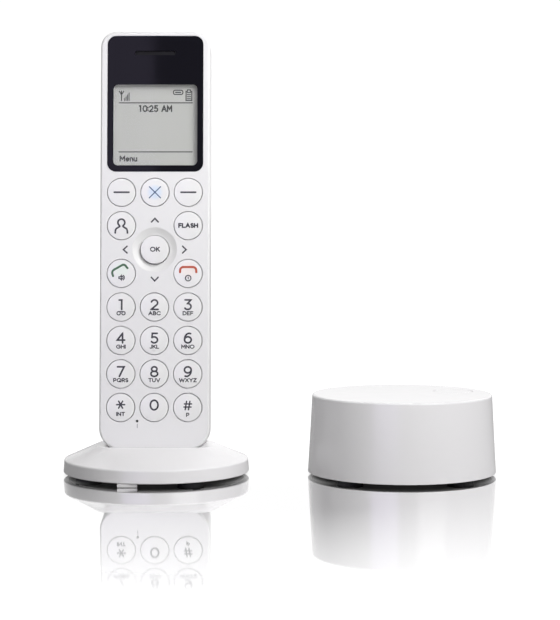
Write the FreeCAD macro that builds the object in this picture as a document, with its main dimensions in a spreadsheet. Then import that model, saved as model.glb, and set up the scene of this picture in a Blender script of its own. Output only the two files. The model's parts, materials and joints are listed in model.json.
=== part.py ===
import FreeCAD, Part

import math
import os
import re

import Sketcher

# Cordless telephone: a handset leaning in its charging cradle, and the separate round line station.
# World frame: +X to the right, +Y to the back, +Z up, origin midway between the outermost edges of the
# two bases, at the level of their feet. Millimetres.
# Handset frame: X across, Y up its length from the lower end, Z out of its front face (the face is Z = 0).

SIZES = {
    # layout
    "base_spacing": 102.0,
    "lean": 6.8,
    "handset_foot_y": -15.5,
    "handset_foot_z": 12.3,
    # handset shell
    "handset_width": 45.0,
    "handset_length": 172.3,
    "handset_depth": 21.0,
    "corner_low": 8.8,
    "corner_high": 6.4,
    "shell_wall": 1.8,
    "face_wall": 1.6,
    "seam_depth": 9.9,
    "seam_gap": 0.15,
    "front_round": 0.9,
    "back_round": 4.0,
    "overlap": 0.5,
    "margin": 1.0,
    "embed": 0.2,
    "boss_radius": 2.0,
    "boss_bore_front": 4.4,
    "rear_boss_radius": 2.6,
    "sound_hole": 0.8,
    "sound_ring": 4.0,
    # display and lens
    "display_step": 112.0,
    "display_wall": 2.4,
    "lens_half": 19.8,
    "lens_low": 114.0,
    "lens_high": 170.5,
    "lens_corner": 3.7,
    "lens_thick": 1.2,
    "lens_gap": 0.1,
    "window_half": 17.3,
    "window_low": 116.7,
    "window_high": 150.3,
    "window_corner": 1.9,
    "panel_edge": 1.2,
    "panel_front": 2.7,
    "panel_thick": 1.9,
    # sound
    "slot_y": 163.3,
    "slot_half": 8.35,
    "slot_tall": 1.8,
    "slot_corner": 0.8,
    "grille_gap": 0.1,
    "grille_corner": 0.7,
    "grille_thick": 0.5,
    "earpiece_radius": 6.5,
    "earpiece_thick": 3.2,
    "mic_x": -7.0,
    "mic_y": 11.7,
    "mic_hole_radius": 0.55,
    "mic_radius": 1.9,
    "mic_thick": 1.5,
    "ringer_radius": 10.0,
    "ringer_y": 138.0,
    "ringer_thick": 4.2,
    # keys
    "key_pitch": 13.69,
    "key_radius": 5.65,
    "key_gap": 0.36,
    "key_flange": 6.45,
    "key_rise": 0.45,
    "key_crown": 0.3,
    "flange_top": 1.75,
    "flange_low": 2.6,
    "stem_radius": 2.0,
    "stem_low": 3.9,
    "row_soft": 105.5,
    "row_book": 91.75,
    "row_ok": 81.9,
    "row_talk": 72.1,
    "row_first": 58.3,
    # navigation: the dish in the cover, the centre key and the five-way switch under it
    "dish_radius": 9.1,
    "dish_depth": 2.4,
    "dish_boss": 9.9,
    "dish_back": 2.6,
    "dish_round": 1.2,
    "ok_radius": 5.75,
    "ok_rise": 0.6,
    "ok_crown": 0.3,
    "ok_flange": 7.0,
    "ok_flange_top": 3.1,
    "ok_hub": 2.4,
    "ok_flange_thick": 0.5,
    "ok_bore_end": 1.2,
    "post_radius": 1.15,
    "post_gap": 0.3,
    "post_front": 2.2,
    "post_foot_front": 4.7,
    "post_foot_back": 5.25,
    "rocker_inner": 3.0,
    "rocker_outer": 4.2,
    "rocker_gap": 0.35,
    "rocker_front": 4.75,
    "rocker_back": 5.3,
    "switch_clear": 7.8,
    # keypad stack and board
    "keypad_low": 9.5,
    "keypad_over": 5.5,
    "mat_top": 4.6,
    "mat_thick": 0.8,
    "film_thick": 0.2,
    "board_thick": 1.2,
    "board_half": 16.2,
    "board_low": 5.0,
    "board_high": 154.5,
    "shield_half": 12.0,
    "shield_low": 88.0,
    "shield_high": 116.0,
    "shield_thick": 2.2,
    "aerial_half": 13.0,
    "aerial_low": 149.0,
    "aerial_high": 168.0,
    "aerial_thick": 0.3,
    "aerial_slot_side": 8.0,
    "aerial_slot_low": 157.0,
    "aerial_slot_high": 159.5,
    # screws of the handset
    "screw_x": 18.6,
    "screw_low_y": 82.0,
    "screw_high_y": 156.5,
    "screw_radius": 0.9,
    "screw_head": 1.7,
    "screw_seat": 12.6,
    "screw_length": 8.0,
    "screw_head_thick": 1.2,
    "screw_slack": 0.2,
    "recess_deep": 0.6,
    # battery compartment
    "bay_half": 11.3,
    "bay_low": 20.0,
    "bay_high": 70.0,
    "bay_floor": 8.1,
    "bay_wall": 1.0,
    "cell_radius": 5.2,
    "cell_length": 43.5,
    "nub_radius": 1.9,
    "nub_length": 1.0,
    "cell_gap": 0.2,
    "contact_thick": 0.5,
    "contact_size": 8.0,
    "cell_spring_radius": 2.6,
    "cell_spring_wire": 0.3,
    "door_half": 15.5,
    "door_low": 13.5,
    "door_high": 79.5,
    "door_gap": 0.2,
    "door_thick": 1.7,
    "door_corner": 2.0,
    "door_ledge": 1.5,
    "ledge_thick": 1.2,
    "notch_half": 6.0,
    "notch_low": 5.0,
    "notch_high": 2.6,
    "notch_deep": 0.7,
    # charging
    "pad_x": 7.0,
    "pad_width": 4.0,
    "pad_back": 17.0,
    "pad_tall": 5.0,
    "pad_recess": 0.8,
    "pad_thick": 0.7,
    "pad_gap": 0.1,
    "pin_radius": 0.9,
    "pin_collar": 1.6,
    "pin_y": -1.1,
    "pin_tip": 10.45,
    "pin_crown": 0.4,
    "pin_tail_radius": 0.6,
    "pin_tail_low": 5.7,
    "collar_low": 6.6,
    "collar_high": 7.3,
    "pin_spring_radius": 1.1,
    "pin_spring_wire": 0.15,
    # cradle
    "cradle_radius": 38.5,
    "cradle_rim_radius": 38.1,
    "cradle_underside": 1.6,
    "cradle_rim": 6.9,
    "cradle_wall": 1.8,
    "mouth_height": 13.35,
    "mouth_half": 23.6,
    "mouth_front": -16.6,
    "mouth_back": 7.0,
    "mouth_corner": 5.5,
    "rim_round": 0.8,
    "well_gap": 0.35,
    "cradle_plate_low": 1.4,
    "cradle_plate_high": 3.0,
    "cradle_edge_round": 0.4,
    "well_base": 7.9,
    "cradle_boss_radius": 2.6,
    "cradle_boss_top": 11.0,
    "cradle_bore_radius": 1.15,
    "cradle_bore_top": 8.2,
    "cradle_screw_ring": 26.0,
    "cradle_screw_radius": 1.1,
    "cradle_screw_length": 4.8,
    "cradle_screw_head": 2.2,
    "cradle_board_half": 15.0,
    "cradle_board_front": -11.0,
    "cradle_board_back": 25.4,
    "cradle_board_thick": 1.2,
    "board_rest": 0.3,
    "rest_radius": 2.0,
    "tab_left": -13.3,
    "tab_right": -5.4,
    "tab_front": -37.1,
    "tab_back": -33.0,
    "tab_low": 0.2,
    # station
    "station_radius": 39.0,
    "station_top_radius": 37.2,
    "station_underside": 1.5,
    "station_height": 33.7,
    "station_wall": 1.8,
    "station_round": 0.8,
    "station_plate_high": 3.1,
    "station_board_low": 8.0,
    "station_board_high": 9.6,
    "button_x": 22.0,
    "button_y": 9.0,
    "button_radius": 8.0,
    "button_gap": 0.25,
    "button_flange": 9.2,
    "button_stem_radius": 1.5,
    "button_stem_low": 14.6,
    "button_flange_low": 3.1,
    "button_slack": 0.15,
    "button_edge": 0.2,
    "station_boss_radius": 2.9,
    "station_bore_radius": 1.35,
    "station_bore_top": 12.0,
    "station_screw_ring": 30.0,
    "station_screw_radius": 1.3,
    "station_screw_length": 7.5,
    "station_screw_head": 2.5,
    "head_thick": 1.0,
    "head_sink": 1.1,
    "station_post_radius": 2.5,
    "station_board_half": 25.0,
    "station_board_front": -12.0,
    "station_board_corner": 2.0,
    "board_clear": 0.02,
    "aerial_wall": 0.4,
    "aerial_tall": 9.0,
    "aerial_long": 18.0,
    "switch_half": 3.0,
    "switch_high": 13.0,
    "switch_cap_radius": 1.7,
    "switch_cap_high": 13.6,
    # feet
    "foot_radius": 5.3,
    "cradle_foot_ring": 30.8,
    "station_foot_ring": 31.6,
    "foot_sink": 0.45,
    "foot_gap": 0.15,
    # sockets
    "cradle_jack_z": 3.55,
    "cradle_jack_back": 33.7,
    "cradle_pin_radius": 0.35,
    "cradle_bore": 1.25,
    "station_jack_x": 12.0,
    "station_jack_z": 15.5,
    "station_pin_radius": 1.05,
    "station_bore": 2.9,
    "line_jack_x": -12.0,
    "line_jack_z": 15.6,
    "line_open_half": 4.9,
    "line_open_tall": 6.8,
    "line_half": 6.5,
    "line_front": 15.0,
    "line_back": 30.4,
    "line_high": 21.6,
    "line_floor": 18.0,
    "latch_half": 1.7,
    "latch_drop": 1.1,
    "latch_floor": 22.0,
    "power_half": 4.5,
    "power_front": 18.5,
    "power_back": 31.6,
    "power_high": 21.0,
    "power_floor": 21.5,
    "power_foot": 0.05,
    "cradle_jack_half": 3.3,
    "cradle_jack_low": 1.75,
    "cradle_jack_high": 5.35,
    "cradle_jack_long": 8.0,
    "jack_slack": 0.4,
    "cradle_pin_long": 6.5,
}

doc = FreeCAD.newDocument("cordless_phone")
sizes = doc.addObject("Spreadsheet::Sheet", "sizes")
for row, (alias, number) in enumerate(SIZES.items(), start=1):
    sizes.set(f"A{row}", alias)
    sizes.set(f"B{row}", str(number))
    sizes.setAlias(f"B{row}", alias)
doc.recompute()

nodes = []


def linked(text):
    """The expression with every size name pointing at its cell."""
    return re.sub(r"[A-Za-z_]\w*", lambda m: f"sizes.{m[0]}" if m[0] in SIZES else m[0], text)


def value(text):
    return float(sizes.evalExpression(linked(text)))


def point(x, y, z="0"):
    return FreeCAD.Vector(value(x), value(y), value(z))


# ---------------------------------------------------------------- sketches


def disc(x, y, radius):
    return ("disc", x, y, radius)


def box(left, right, low, high, low_round=None, high_round=None):
    return ("box", left, right, low, high, low_round, high_round)


def bind(sketch, constraint, text):
    name = f"size{sketch.ConstraintCount}"
    index = sketch.addConstraint(constraint)
    sketch.renameConstraint(index, name)
    sketch.setExpression(f"Constraints.{name}", linked(text))


def draw_disc(sketch, x, y, radius):
    centre = point(x, y)
    circle = sketch.addGeometry(Part.Circle(centre, FreeCAD.Vector(0, 0, 1), value(radius)))
    bind(sketch, Sketcher.Constraint("Radius", circle, value(radius)), radius)
    bind(sketch, Sketcher.Constraint("DistanceX", -1, 1, circle, 3, centre.x), x)
    bind(sketch, Sketcher.Constraint("DistanceY", -1, 1, circle, 3, centre.y), y)


def draw_box(sketch, left, right, low, high, low_round, high_round):
    """A rectangle whose two low corners and two high corners may be rounded."""
    x0, x1, y0, y1 = (value(text) for text in (left, right, low, high))
    rounds = [low_round, low_round, high_round, high_round]
    radii = [value(text) if text else 0.0 for text in rounds]
    corners = [(x0, y0), (x1, y0), (x1, y1), (x0, y1)]
    inward = [(1, 1), (-1, 1), (-1, -1), (1, -1)]
    along = [(1, 0), (0, 1), (-1, 0), (0, -1)]
    lines = []
    for i in range(4):
        j = (i + 1) % 4
        start = [corners[i][k] + along[i][k] * radii[i] for k in (0, 1)]
        end = [corners[j][k] - along[i][k] * radii[j] for k in (0, 1)]
        line = Part.LineSegment(FreeCAD.Vector(*start, 0), FreeCAD.Vector(*end, 0))
        lines.append(sketch.addGeometry(line))
        side = "Horizontal" if i % 2 == 0 else "Vertical"
        sketch.addConstraint(Sketcher.Constraint(side, lines[i]))
    for i in range(4):
        if not rounds[i]:
            sketch.addConstraint(Sketcher.Constraint("Coincident", lines[i - 1], 2, lines[i], 1))
            continue
        centre = [corners[i][k] + inward[i][k] * radii[i] for k in (0, 1)]
        circle = Part.Circle(FreeCAD.Vector(*centre, 0), FreeCAD.Vector(0, 0, 1), radii[i])
        start_angle = math.pi * (1 + i / 2)
        arc = sketch.addGeometry(Part.ArcOfCircle(circle, start_angle, start_angle + math.pi / 2))
        sketch.addConstraint(Sketcher.Constraint("Tangent", lines[i - 1], 2, arc, 1))
        sketch.addConstraint(Sketcher.Constraint("Tangent", arc, 2, lines[i], 1))
        bind(sketch, Sketcher.Constraint("Radius", arc, radii[i]), rounds[i])
    bind(sketch, Sketcher.Constraint("DistanceY", -1, 1, lines[0], 1, y0), low)
    bind(sketch, Sketcher.Constraint("DistanceX", -1, 1, lines[1], 1, x1), right)
    bind(sketch, Sketcher.Constraint("DistanceY", -1, 1, lines[2], 1, y1), high)
    bind(sketch, Sketcher.Constraint("DistanceX", -1, 1, lines[3], 1, x0), left)


def new_sketch(part, level, outlines, plane="XY_Plane"):
    sketch = part.newObject("Sketcher::SketchObject", "outline")
    support = next(item for item in part.Origin.OriginFeatures if item.Role == plane)
    sketch.AttachmentSupport = [(support, "")]
    sketch.MapMode = "FlatFace"
    sketch.setExpression("AttachmentOffset.Base.z", linked(level))
    for kind, *sizes_of_outline in outlines:
        draw = draw_disc if kind == "disc" else draw_box
        draw(sketch, *sizes_of_outline)
    sketch.Visibility = False
    return sketch


# ---------------------------------------------------------------- features of a body


def new_body(label):
    part = doc.addObject("PartDesign::Body", label)
    part.Label = label
    nodes.append(part)
    return part


def add(part, low, high, outlines):
    """Material between two levels."""
    feature = part.newObject("PartDesign::Pad", "pad")
    feature.Profile = new_sketch(part, low, outlines)
    feature.setExpression("Length", linked(f"({high}) - ({low})"))
    part.Tip = feature
    return feature


def cut(part, low, high, outlines):
    """A recess or hole between two levels."""
    feature = part.newObject("PartDesign::Pocket", "pocket")
    feature.Profile = new_sketch(part, high, outlines)
    feature.setExpression("Length", linked(f"({high}) - ({low})"))
    part.Tip = feature
    return feature


def cut_back(part, depth, outlines, start="0"):
    """A recess sunk towards +Y from the plane Y = start; its outlines are in X and Z."""
    feature = part.newObject("PartDesign::Pocket", "side_pocket")
    feature.Profile = new_sketch(part, f"-({start})", outlines, "XZ_Plane")
    feature.setExpression("Length", linked(depth))
    part.Tip = feature
    return feature


def add_back(part, depth, outlines, start):
    """Material that runs towards +Y from the plane Y = start; its outlines are in X and Z."""
    feature = part.newObject("PartDesign::Pad", "side_pad")
    feature.Profile = new_sketch(part, f"-({start})", outlines, "XZ_Plane")
    feature.Reversed = True
    feature.setExpression("Length", linked(depth))
    part.Tip = feature
    return feature


def loft(part, kind, sections):
    """A loft through outlines at rising levels; kind is Additive or Subtractive."""
    sketches = [new_sketch(part, level, [outline]) for level, outline in sections]
    feature = part.newObject(f"PartDesign::{kind}Loft", "loft")
    feature.Profile = sketches[0]
    feature.Sections = sketches[1:]
    feature.Ruled = True
    part.Tip = feature
    return feature


def round_edges(part, radius, chosen):
    """A fillet on every edge of the body that the test picks out."""
    doc.recompute()
    names = [f"Edge{i}" for i, edge in enumerate(part.Tip.Shape.Edges, start=1) if chosen(edge)]
    base = part.Tip
    feature = part.newObject("PartDesign::Fillet", "fillet")
    feature.Base = (base, names)
    feature.setExpression("Radius", linked(radius))
    part.Tip = feature
    return feature


def at_level(level):
    height = value(level)
    return lambda edge: edge.BoundBox.ZLength < 0.01 and abs(edge.BoundBox.ZMin - height) < 0.01


def revolve(part, outline, crowned=False):
    """A turned solid. The outline is a list of (radius, height) corners; a crowned one ends in an arc
    from its last corner but one to its last corner, which is on the axis."""
    sketch = part.newObject("Sketcher::SketchObject", "profile")
    support = next(item for item in part.Origin.OriginFeatures if item.Role == "XZ_Plane")
    sketch.AttachmentSupport = [(support, "")]
    sketch.MapMode = "FlatFace"
    corners = [point(radius, height) for radius, height in outline]
    count = len(corners)
    edges = []
    for i in range(count):
        start, end = corners[i], corners[(i + 1) % count]
        if crowned and i == count - 2:
            rise = end.y - start.y
            radius = (start.x**2 + rise**2) / (2 * rise)
            circle = Part.Circle(FreeCAD.Vector(0, end.y - radius, 0), FreeCAD.Vector(0, 0, 1), radius)
            arc = Part.ArcOfCircle(circle, math.asin((radius - rise) / radius), math.pi / 2)
            edges.append(sketch.addGeometry(arc))
            sketch.addConstraint(Sketcher.Constraint("PointOnObject", edges[i], 3, -2))
        else:
            edges.append(sketch.addGeometry(Part.LineSegment(start, end)))
    for i in range(count):
        sketch.addConstraint(Sketcher.Constraint("Coincident", edges[i - 1], 2, edges[i], 1))
        bind(sketch, Sketcher.Constraint("DistanceX", -1, 1, edges[i], 1, corners[i].x), outline[i][0])
        bind(sketch, Sketcher.Constraint("DistanceY", -1, 1, edges[i], 1, corners[i].y), outline[i][1])
    feature = part.newObject("PartDesign::Revolution", "turned")
    feature.Profile = sketch
    feature.ReferenceAxis = (sketch, ["V_Axis"])
    feature.Angle = 360
    part.Tip = feature
    sketch.Visibility = False
    return feature


# ---------------------------------------------------------------- primitives and groups


def block(name, length, width, height, corner=("0", "0", "0")):
    item = doc.addObject("Part::Box", name)
    for side, text in (("Length", length), ("Width", width), ("Height", height)):
        item.setExpression(side, linked(text))
    for axis, text in zip("xyz", corner):
        item.setExpression(f"Placement.Base.{axis}", linked(text))
    return item


def rod(name, radius, height, foot=("0", "0", "0")):
    item = doc.addObject("Part::Cylinder", name)
    item.setExpression("Radius", linked(radius))
    item.setExpression("Height", linked(height))
    for axis, text in zip("xyz", foot):
        item.setExpression(f"Placement.Base.{axis}", linked(text))
    return item


def fuse(name, *items):
    whole = doc.addObject("Part::MultiFuse", name)
    whole.Shapes = list(items)
    return whole


def subtract(name, base, tool):
    result = doc.addObject("Part::Cut", name)
    result.Base = base
    result.Tool = tool
    return result


def group(label, items):
    """One node of several separate solids."""
    node = doc.addObject("Part::Compound", label)
    node.Label = label
    node.Links = list(items)
    nodes.append(node)
    return node


def coil(radius, wire, turns, height):
    """A helical spring standing on the origin, with its wire round the helix."""
    rise = height - 2 * wire
    helix = Part.makeHelix(rise / turns, rise, radius)
    helix.translate(FreeCAD.Vector(0, 0, wire))
    path = Part.Wire(helix.Edges)
    start = path.Edges[0].valueAt(path.Edges[0].FirstParameter)
    tangent = path.Edges[0].tangentAt(path.Edges[0].FirstParameter)
    section = Part.Wire(Part.Circle(start, tangent, wire).toShape())
    return path.makePipeShell([section], True, True)


# ---------------------------------------------------------------- places

half_span = (value("cradle_radius") + value("base_spacing") + value("station_radius")) / 2
cradle_x = value("cradle_radius") - half_span
station_x = half_span - value("station_radius")
handset_foot = FreeCAD.Vector(cradle_x, value("handset_foot_y"), value("handset_foot_z"))
handset_turn = FreeCAD.Rotation(FreeCAD.Vector(1, 0, 0), 90 - value("lean"))
handset_place = FreeCAD.Placement(handset_foot, handset_turn)
cradle_place = FreeCAD.Placement(FreeCAD.Vector(cradle_x, 0, 0), FreeCAD.Rotation())
station_place = FreeCAD.Placement(FreeCAD.Vector(station_x, 0, 0), FreeCAD.Rotation())


def place(part, home, x="0", y="0", z="0"):
    part.Placement = home.multiply(FreeCAD.Placement(point(x, y, z), FreeCAD.Rotation()))


# ---------------------------------------------------------------- handset: keys

KEYS = {
    "key_soft_left": ("-key_pitch", "row_soft"),
    "key_cancel": ("0", "row_soft"),
    "key_soft_right": ("key_pitch", "row_soft"),
    "key_contacts": ("-key_pitch", "row_book"),
    "key_flash": ("key_pitch", "row_book"),
    "key_talk": ("-key_pitch", "row_talk"),
    "key_end": ("key_pitch", "row_talk"),
}
DIAL = [["1", "2", "3"], ["4", "5", "6"], ["7", "8", "9"], ["star", "0", "hash"]]
for line_number, line_keys in enumerate(DIAL):
    for column, digit in zip(("-key_pitch", "0", "key_pitch"), line_keys):
        KEYS[f"key_{digit}"] = (column, f"row_first - {line_number} * key_pitch")

SCREW_SPOTS = [(side + "screw_x", row) for side in ("-", "") for row in ("screw_low_y", "screw_high_y")]


def make_key(label, x, y):
    """A crowned round cap with a flange that stops it behind the cover, and a stem above its switch."""
    key = new_body(label)
    revolve(
        key,
        [
            ("0", "-stem_low"),
            ("stem_radius", "-stem_low"),
            ("stem_radius", "-flange_low"),
            ("key_flange", "-flange_low"),
            ("key_flange", "-flange_top"),
            ("key_radius", "-flange_top"),
            ("key_radius", "key_rise - key_crown"),
            ("0", "key_rise"),
        ],
        crowned=True,
    )
    place(key, handset_place, x, y)


def make_centre_key():
    """The centre key stands in the cover's dish. It slides on the post of the five-way switch below it."""
    key = new_body("key_ok")
    revolve(
        key,
        [
            ("0", "-ok_bore_end"),
            ("post_radius + post_gap", "-ok_bore_end"),
            ("post_radius + post_gap", "-stem_low"),
            ("ok_hub", "-stem_low"),
            ("ok_hub", "-ok_flange_top - ok_flange_thick"),
            ("ok_flange", "-ok_flange_top - ok_flange_thick"),
            ("ok_flange", "-ok_flange_top"),
            ("ok_radius", "-ok_flange_top"),
            ("ok_radius", "ok_rise - ok_crown"),
            ("0", "ok_rise"),
        ],
        crowned=True,
    )
    place(key, handset_place, "0", "row_ok")


def make_five_way_switch():
    """A rocker that tilts up and down, and on it the post that tilts left and right."""
    rocker = new_body("nav_rocker")
    add(rocker, "-rocker_back", "-rocker_front", [disc("0", "0", "rocker_outer")])
    cut(rocker, "-rocker_back - margin", "0", [disc("0", "0", "rocker_inner")])
    place(rocker, handset_place, "0", "row_ok")
    post = new_body("nav_post")
    revolve(
        post,
        [
            ("0", "-post_foot_back"),
            ("rocker_inner - rocker_gap", "-post_foot_back"),
            ("rocker_inner - rocker_gap", "-post_foot_front"),
            ("post_radius", "-post_foot_front"),
            ("post_radius", "-post_front"),
            ("0", "-post_front"),
        ],
    )
    place(post, handset_place, "0", "row_ok")


# ---------------------------------------------------------------- handset: shells and lens


def handset_outline(inset="0"):
    return box(
        f"-handset_width / 2 + {inset}",
        f"handset_width / 2 - {inset}",
        inset,
        f"handset_length - {inset}",
        f"corner_low - {inset}",
        f"corner_high - {inset}",
    )


def make_front_cover():
    cover = new_body("front_cover")
    add(cover, "-seam_depth", "0", [handset_outline()])
    round_edges(cover, "front_round", at_level("0"))
    inner = "handset_width / 2 - shell_wall"
    cut(
        cover,
        "-seam_depth",
        "-face_wall",
        [box(f"-({inner})", inner, "shell_wall", "display_step", "corner_low - shell_wall")],
    )
    display_top = "handset_length - shell_wall"
    cut(
        cover,
        "-seam_depth",
        "-display_wall",
        [box(f"-({inner})", inner, "display_step - margin", display_top, None, "corner_high - shell_wall")],
    )
    lens_seat = box("-lens_half", "lens_half", "lens_low", "lens_high", "lens_corner", "lens_corner")
    cut(cover, "-lens_thick - lens_gap", "0", [lens_seat])
    cut(
        cover,
        "-display_wall - margin",
        "0",
        [
            box("-window_half", "window_half", "window_low", "window_high", "window_corner", "window_corner"),
            box("-slot_half", "slot_half", "slot_y - slot_tall / 2", "slot_y + slot_tall / 2"),
        ],
    )
    holes = [disc(x, y, "key_radius + key_gap") for x, y in KEYS.values()]
    holes.append(disc("mic_x", "mic_y", "mic_hole_radius"))
    cut(cover, "-face_wall - margin", "margin", holes)
    add(cover, "-dish_back", "-face_wall + embed", [disc("0", "row_ok", "dish_boss")])
    cut_dish(cover)
    cut(cover, "-dish_back - margin", "margin", [disc("0", "row_ok", "ok_radius + key_gap")])
    add(cover, "-seam_depth", "-face_wall + embed", [disc(x, y, "boss_radius") for x, y in SCREW_SPOTS])
    cut(cover, "-seam_depth", "-boss_bore_front", [disc(x, y, "screw_radius + 0.05") for x, y in SCREW_SPOTS])
    place(cover, handset_place)


def cut_dish(cover):
    """A shallow bowl round the centre key, with a soft rim."""
    bowl = cover.newObject("PartDesign::SubtractiveSphere", "dish")
    bowl.setExpression("Radius", linked("(dish_radius^2 + dish_depth^2) / (2 * dish_depth)"))
    bowl.setExpression("Placement.Base.y", linked("row_ok"))
    bowl.setExpression("Placement.Base.z", linked("(dish_radius^2 - dish_depth^2) / (2 * dish_depth)"))
    cover.Tip = bowl
    round_edges(cover, "dish_round", on_dish_rim)


def on_dish_rim(edge):
    box = edge.BoundBox
    flat = abs(box.ZMin) < 0.01 and box.ZLength < 0.01
    return flat and abs(box.XLength - 2 * value("dish_radius")) < 0.01


def make_rear_cover():
    """The back shell with the battery bay, the screw posts, the ringer holes and the charge pad recesses."""
    cover = new_body("rear_cover")
    top = "-seam_depth - seam_gap"
    inside = "-handset_depth + shell_wall"
    add(cover, "-handset_depth", top, [handset_outline()])
    round_edges(cover, "back_round", at_level("-handset_depth"))
    cut(cover, inside, top, [handset_outline("shell_wall")])
    bay = "bay_half + bay_wall"
    add(
        cover,
        f"{inside} - overlap",
        "-bay_floor + bay_wall",
        [box(f"-({bay})", bay, "bay_low - bay_wall", "bay_high + bay_wall")],
    )
    ledge = "door_half + door_ledge"
    add(
        cover,
        f"{inside} - overlap",
        f"{inside} + ledge_thick",
        [box(f"-({ledge})", ledge, "door_low - door_ledge", "door_high + door_ledge")],
    )
    add(cover, f"{inside} - overlap", top, [disc(x, y, "rear_boss_radius") for x, y in SCREW_SPOTS])
    opening = "door_half + door_gap"
    cut(
        cover,
        "-handset_depth - margin",
        inside,
        [box(f"-({opening})", opening, "door_low - door_gap", "door_high + door_gap",
             "door_corner + door_gap", "door_corner + door_gap")],
    )
    cut(cover, "-handset_depth - margin", "-bay_floor", [box("-bay_half", "bay_half", "bay_low", "bay_high")])
    cut(cover, "-handset_depth - margin", "0",
        [disc(x, y, "screw_radius + screw_slack") for x, y in SCREW_SPOTS])
    cut(cover, "-handset_depth - margin", "-screw_seat",
        [disc(x, y, "screw_head + screw_slack") for x, y in SCREW_SPOTS])
    sound = [disc("0", "ringer_y", "sound_hole")]
    for turn in range(6):
        angle = f"{turn * 60} deg"
        sound.append(disc(f"sound_ring * cos({angle})", f"ringer_y + sound_ring * sin({angle})",
            "sound_hole"))
    cut(cover, "-handset_depth - margin", f"{inside} + margin", sound)
    pads = [
        box(f"{side}pad_x - pad_width / 2 - pad_gap", f"{side}pad_x + pad_width / 2 + pad_gap",
            "-pad_back - pad_gap", "-pad_back + pad_tall + pad_gap")
        for side in ("-", "")
    ]
    cut_back(cover, "pad_recess", pads)
    place(cover, handset_place)


def make_battery_door():
    door = new_body("battery_door")
    outline = box("-door_half", "door_half", "door_low", "door_high", "door_corner", "door_corner")
    add(door, "-handset_depth", "-handset_depth + door_thick", [outline])
    notch = box("-notch_half", "notch_half", "door_high - notch_low", "door_high - notch_high", "1.1", "1.1")
    cut(door, "-handset_depth", "-handset_depth + notch_deep", [notch])
    place(door, handset_place)


def make_lens():
    lens = new_body("display_lens")
    outline = box(
        "-lens_half + lens_gap",
        "lens_half - lens_gap",
        "lens_low + lens_gap",
        "lens_high - lens_gap",
        "lens_corner - lens_gap",
        "lens_corner - lens_gap",
    )
    add(lens, "-lens_thick", "0", [outline])
    half_slot = "slot_tall / 2"
    slot = box("-slot_half", "slot_half", f"slot_y - {half_slot}", f"slot_y + {half_slot}",
               "slot_corner", "slot_corner")
    cut(lens, "-lens_thick - margin", "margin", [slot])
    place(lens, handset_place)


def make_grille():
    grille = new_body("earpiece_grille")
    half = "slot_half - grille_gap"
    tall = "slot_tall / 2 - grille_gap"
    outline = box(f"-({half})", half, f"slot_y - ({tall})", f"slot_y + ({tall})", "grille_corner",
        "grille_corner")
    add(grille, "-lens_thick", "-lens_thick + grille_thick", [outline])
    place(grille, handset_place)


# ---------------------------------------------------------------- handset: inside


def make_plate(label, half, low, high, back, thick, corner="1"):
    """A flat rectangular piece behind the face: its front is at Z = -back."""
    plate = new_body(label)
    outline = box(f"-({half})", half, low, high, corner, corner)
    add(plate, f"-({back}) - ({thick})", f"-({back})", [outline])
    place(plate, handset_place)
    return plate


def make_disc(label, x, y, radius, back, thick):
    piece = new_body(label)
    add(piece, f"-({back}) - ({thick})", f"-({back})", [disc(x, y, radius)])
    place(piece, handset_place)
    return piece


def make_inside():
    make_plate("lcd_panel", "window_half + panel_edge", "window_low - panel_edge",
               "window_high + panel_edge", "panel_front", "panel_thick")
    mat = make_plate("keypad_mat", "board_half", "keypad_low", "row_soft + keypad_over", "mat_top",
        "mat_thick")
    film = make_plate("dome_film", "board_half", "keypad_low", "row_soft + keypad_over",
                      "mat_top + mat_thick", "film_thick")
    for sheet in (mat, film):
        cut(sheet, "-mat_top - mat_thick - margin", "0", [disc("0", "row_ok", "switch_clear")])
    board_front = "mat_top + mat_thick + film_thick"
    make_plate("handset_board", "board_half", "board_low", "board_high", board_front, "board_thick")
    make_plate("radio_shield", "shield_half", "shield_low", "shield_high",
               f"{board_front} + board_thick", "shield_thick")
    make_disc("earpiece_speaker", "0", "slot_y", "earpiece_radius", "display_wall + 0.1", "earpiece_thick")
    make_disc("microphone", "mic_x", "mic_y", "mic_radius", "face_wall + 0.1", "mic_thick")
    ringer_front = "handset_depth - shell_wall - 0.3 - ringer_thick"
    make_disc("ringer_speaker", "0", "ringer_y", "ringer_radius", ringer_front, "ringer_thick")
    antenna = make_plate("handset_antenna", "aerial_half", "aerial_low", "aerial_high",
                         f"{board_front} + board_thick + 0.05", "aerial_thick")
    slot = box("-aerial_half - margin", "aerial_slot_side", "aerial_slot_low", "aerial_slot_high")
    cut(antenna, "-handset_depth", "0", [slot])


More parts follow.
